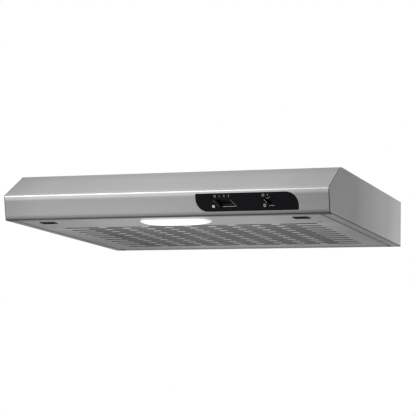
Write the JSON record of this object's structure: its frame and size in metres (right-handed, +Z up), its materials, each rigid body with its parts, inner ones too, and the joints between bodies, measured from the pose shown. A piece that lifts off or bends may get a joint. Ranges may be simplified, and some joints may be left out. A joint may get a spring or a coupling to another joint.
{
  "type": "under-cabinet range hood",
  "caption": "Slim stainless under-cabinet range hood with chamfered front, slider controls, hinged slotted grille, lamp, blower and top duct collar.",
  "frame": {"origin": "centre of the raised pad on the top panel, where the cabinet floor rests on the hood", "axes": "+X to the hood's right seen from the front (its width), +Y towards the wall, +Z up"},
  "size_m": [0.598, 0.5094, 0.1209],
  "materials": {
    "stainless": "satin brushed",
    "zinc_steel": "galvanised",
    "panel_black": "gloss",
    "black_plastic": "matt moulded",
    "grey_plastic": "matt moulded",
    "fan_plastic": "matt moulded",
    "lens_white": "frosted",
    "bulb_glass": "frosted",
    "lamp_ceramic": "heat-proof moulded",
    "white_enamel": "enamel",
    "bright_steel": "plated",
    "filter_metal": "bare",
    "filter_knit": "layered fibre",
    "motor_metal": "satin",
    "bush_rubber": "matt",
    "white_plastic": "moulded",
    "lead_dark": "sleeved",
    "lead_pale": "sleeved"
  },
  "bodies": {
    "housing": {"top_panel": "stainless", "side_panel_left": "stainless", "side_panel_right": "stainless", "back_panel": "zinc_steel", "front_panel": "stainless", "control_panel": "panel_black", "fan_switch": "grey_plastic", "light_switch": "grey_plastic", "switch_bracket": "zinc_steel", "hinge_bracket_left": "zinc_steel", "hinge_bracket_right": "zinc_steel", "lamp_reflector": "white_enamel", "lamp_bracket": "zinc_steel", "lamp_bulb": "bulb_glass", "lamp_holder": "lamp_ceramic", "blower_housing_lower": "grey_plastic", "blower_housing_upper": "grey_plastic", "blower_screw_1": "bright_steel", "blower_screw_2": "bright_steel", "blower_screw_3": "bright_steel", "blower_screw_4": "bright_steel", "motor_bush_1": "bush_rubber", "motor_bush_2": "bush_rubber", "motor_bush_3": "bush_rubber", "fan_motor": "motor_metal", "duct_collar": "grey_plastic", "flap_pin": "bright_steel", "terminal_box": "black_plastic", "terminal_box_cover": "black_plastic", "cable_grommet": "bush_rubber", "run_capacitor": "white_plastic", "capacitor_clip": "zinc_steel", "motor_lead": "lead_dark", "switch_lead": "lead_dark", "lamp_lead": "lead_pale"},
    "grille": {"grille_panel": "stainless", "lamp_lens": "lens_white", "latch_guide_left": "black_plastic", "latch_guide_right": "black_plastic", "latch_spring_left": "bright_steel", "latch_spring_right": "bright_steel", "hinge_pin_left": "bright_steel", "hinge_pin_right": "bright_steel", "filter_frame": "filter_metal", "filter_mesh": "filter_knit", "filter_wire_front": "bright_steel", "filter_wire_rear": "bright_steel"},
    "latch_left": {"latch_slider_left": "black_plastic"},
    "latch_right": {"latch_slider_right": "black_plastic"},
    "fan_knob": {"fan_slider_knob": "panel_black"},
    "light_knob": {"light_slider_knob": "panel_black"},
    "fan_wheel": {"impeller": "fan_plastic", "motor_shaft": "bright_steel"},
    "flap_front": {"flap_front": "grey_plastic"},
    "flap_rear": {"flap_rear": "grey_plastic"}
  },
  "joints": [
    {"name": "grille_hinge", "type": "hinge", "parent": "housing", "child": "grille", "pos_m": [0, 0.229, -0.083], "axis": [1, 0, 0], "range_deg": [0, 85]},
    {"name": "latch_left_slide", "type": "slide", "parent": "grille", "child": "latch_left", "axis": [0, 1, 0], "range_m": [0, 0.006], "stiffness_N_per_m": 150, "springref_m": -0.004, "deforming": ["latch_spring_left"]},
    {"name": "latch_right_slide", "type": "slide", "parent": "grille", "child": "latch_right", "axis": [0, 1, 0], "range_m": [0, 0.006], "stiffness_N_per_m": 150, "springref_m": -0.004, "deforming": ["latch_spring_right"]},
    {"name": "fan_slider", "type": "slide", "parent": "housing", "child": "fan_knob", "axis": [1, 0, 0], "range_m": [0, 0.0246]},
    {"name": "light_slider", "type": "slide", "parent": "housing", "child": "light_knob", "axis": [1, 0, 0], "range_m": [0, 0.0087]},
    {"name": "impeller_spin", "type": "hinge", "parent": "housing", "child": "fan_wheel", "pos_m": [-0.118, 0.004, -0.04], "axis": [0, 0, -1], "continuous": true},
    {"name": "flap_front_hinge", "type": "hinge", "parent": "housing", "child": "flap_front", "pos_m": [0, 0.09, 0.006], "axis": [-1, 0, 0], "range_deg": [0, 75]},
    {"name": "flap_rear_hinge", "type": "hinge", "parent": "housing", "child": "flap_rear", "pos_m": [0, 0.09, 0.006], "axis": [1, 0, 0], "range_deg": [0, 75]}
  ]
}
